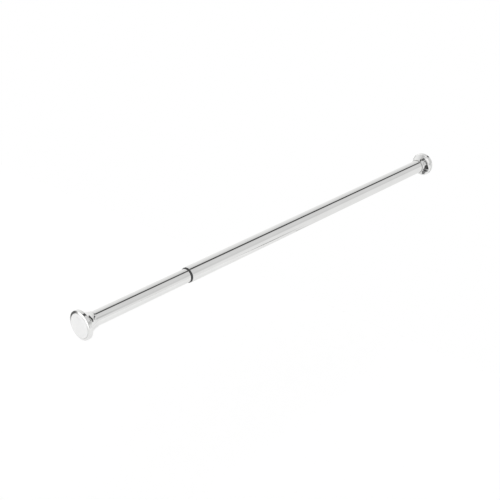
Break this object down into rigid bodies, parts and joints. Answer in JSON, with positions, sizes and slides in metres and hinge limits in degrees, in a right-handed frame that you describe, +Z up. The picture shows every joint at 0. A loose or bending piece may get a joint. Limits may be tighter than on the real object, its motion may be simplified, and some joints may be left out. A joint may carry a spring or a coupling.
{
  "type": "doorway pull up bar",
  "caption": "Telescopic chrome pull up bar that a screw inside the tubes presses between the sides of a doorway, with swivelling padded cups.",
  "frame": {"origin": "centre of the face of the fixed pad, at the end of the thick tube", "axes": "+X points out of the fixed pad into the side of the doorway, along the bar's axis, so the bar runs towards -X; +Z is up"},
  "size_m": [1.02, 0.0518, 0.0518],
  "materials": {
    "chrome_tube": "bright chrome plate on drawn steel tube, with faint draw lines along it",
    "chrome_cup": "bright chrome plate on a turned cup",
    "pad_rubber": "pale grey moulded rubber, satin, finely textured face",
    "black_nylon": "black moulded nylon",
    "hub_nylon": "grey moulded nylon",
    "acetal": "white acetal, slippery",
    "plated_steel": "zinc plated steel",
    "screw_steel": "rolled steel thread, greased",
    "spring_steel": "blackened spring steel",
    "nut_brass": "turned brass"
  },
  "bodies": {
    "fixed_end": {"fixed_pad": "pad_rubber", "fixed_cup": "chrome_cup", "fixed_hub": "hub_nylon"},
    "outer_assembly": {"outer_tube": "chrome_tube", "outer_end_plug": "plated_steel", "outer_plug_pins": "plated_steel", "fixed_pivot_bolt": "plated_steel", "fixed_thrust_washer": "plated_steel", "mouth_bush": "black_nylon", "spindle": "screw_steel", "spindle_pin": "plated_steel", "stop_washer": "plated_steel", "stop_clip": "spring_steel"},
    "glide": {"glide_ring": "acetal"},
    "inner_assembly": {"inner_tube": "chrome_tube", "inner_end_plug": "plated_steel", "inner_plug_pins": "plated_steel", "free_pivot_bolt": "plated_steel", "free_thrust_washer": "plated_steel", "spindle_nut": "nut_brass", "nut_rivets": "plated_steel", "glide_ring_clip": "spring_steel"},
    "free_end": {"free_pad": "pad_rubber", "free_cup": "chrome_cup", "free_hub": "hub_nylon"}
  },
  "joints": [
    {"name": "fixed_swivel", "type": "hinge", "parent": "fixed_end", "child": "outer_assembly", "pos_m": [0, 0, 0], "axis": [1, 0, 0], "continuous": true},
    {"name": "travel", "type": "slide", "parent": "outer_assembly", "child": "glide", "axis": [-1, 0, 0], "range_m": [-0.2001, 0.1001]},
    {"name": "twist", "type": "hinge", "parent": "glide", "child": "inner_assembly", "pos_m": [0, 0, 0], "axis": [-1, 0, 0], "range_deg": [-18000, 9000]},
    {"name": "free_swivel", "type": "hinge", "parent": "inner_assembly", "child": "free_end", "pos_m": [-1.02, 0, 0], "axis": [1, 0, 0], "continuous": true}
  ],
  "couplings": [
    {"joint": "travel", "follows": "twist", "m_per_rad": 0.00063662}
  ]
}
